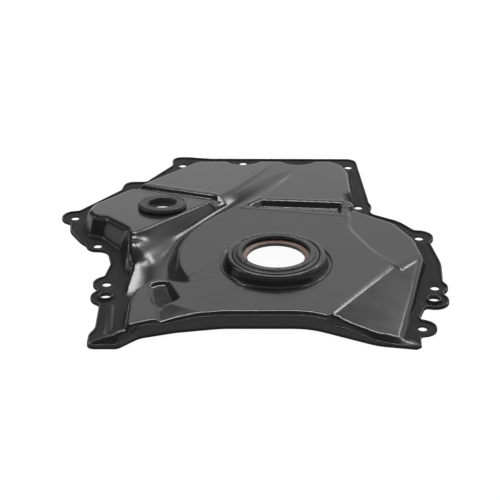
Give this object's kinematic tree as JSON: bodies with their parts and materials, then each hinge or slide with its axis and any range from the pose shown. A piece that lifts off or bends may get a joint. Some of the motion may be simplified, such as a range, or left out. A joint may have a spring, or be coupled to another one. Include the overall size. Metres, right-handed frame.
{
  "type": "timing cover",
  "caption": "Pressed steel timing cover with a bolted flange, stepped chain bays, a crank seal in a raised boss and a rubber bush.",
  "frame": {"origin": "where the crank axis crosses the sealing plane of the flange", "axes": "+Z out of the engine along the crank axis, +Y towards the straight back edge, +X to the right seen from the concave front edge"},
  "size_m": [0.318, 0.3425, 0.0245],
  "materials": {
    "cover_paint": "semi-gloss black",
    "seal_rubber": "satin",
    "seal_lip": "matt red-brown",
    "bush_rubber": "satin"
  },
  "bodies": {
    "root": {"cover_pressing": "cover_paint", "crank_seal": "seal_rubber", "crank_seal_lip": "seal_lip", "rubber_bush": "bush_rubber"}
  },
  "joints": []
}
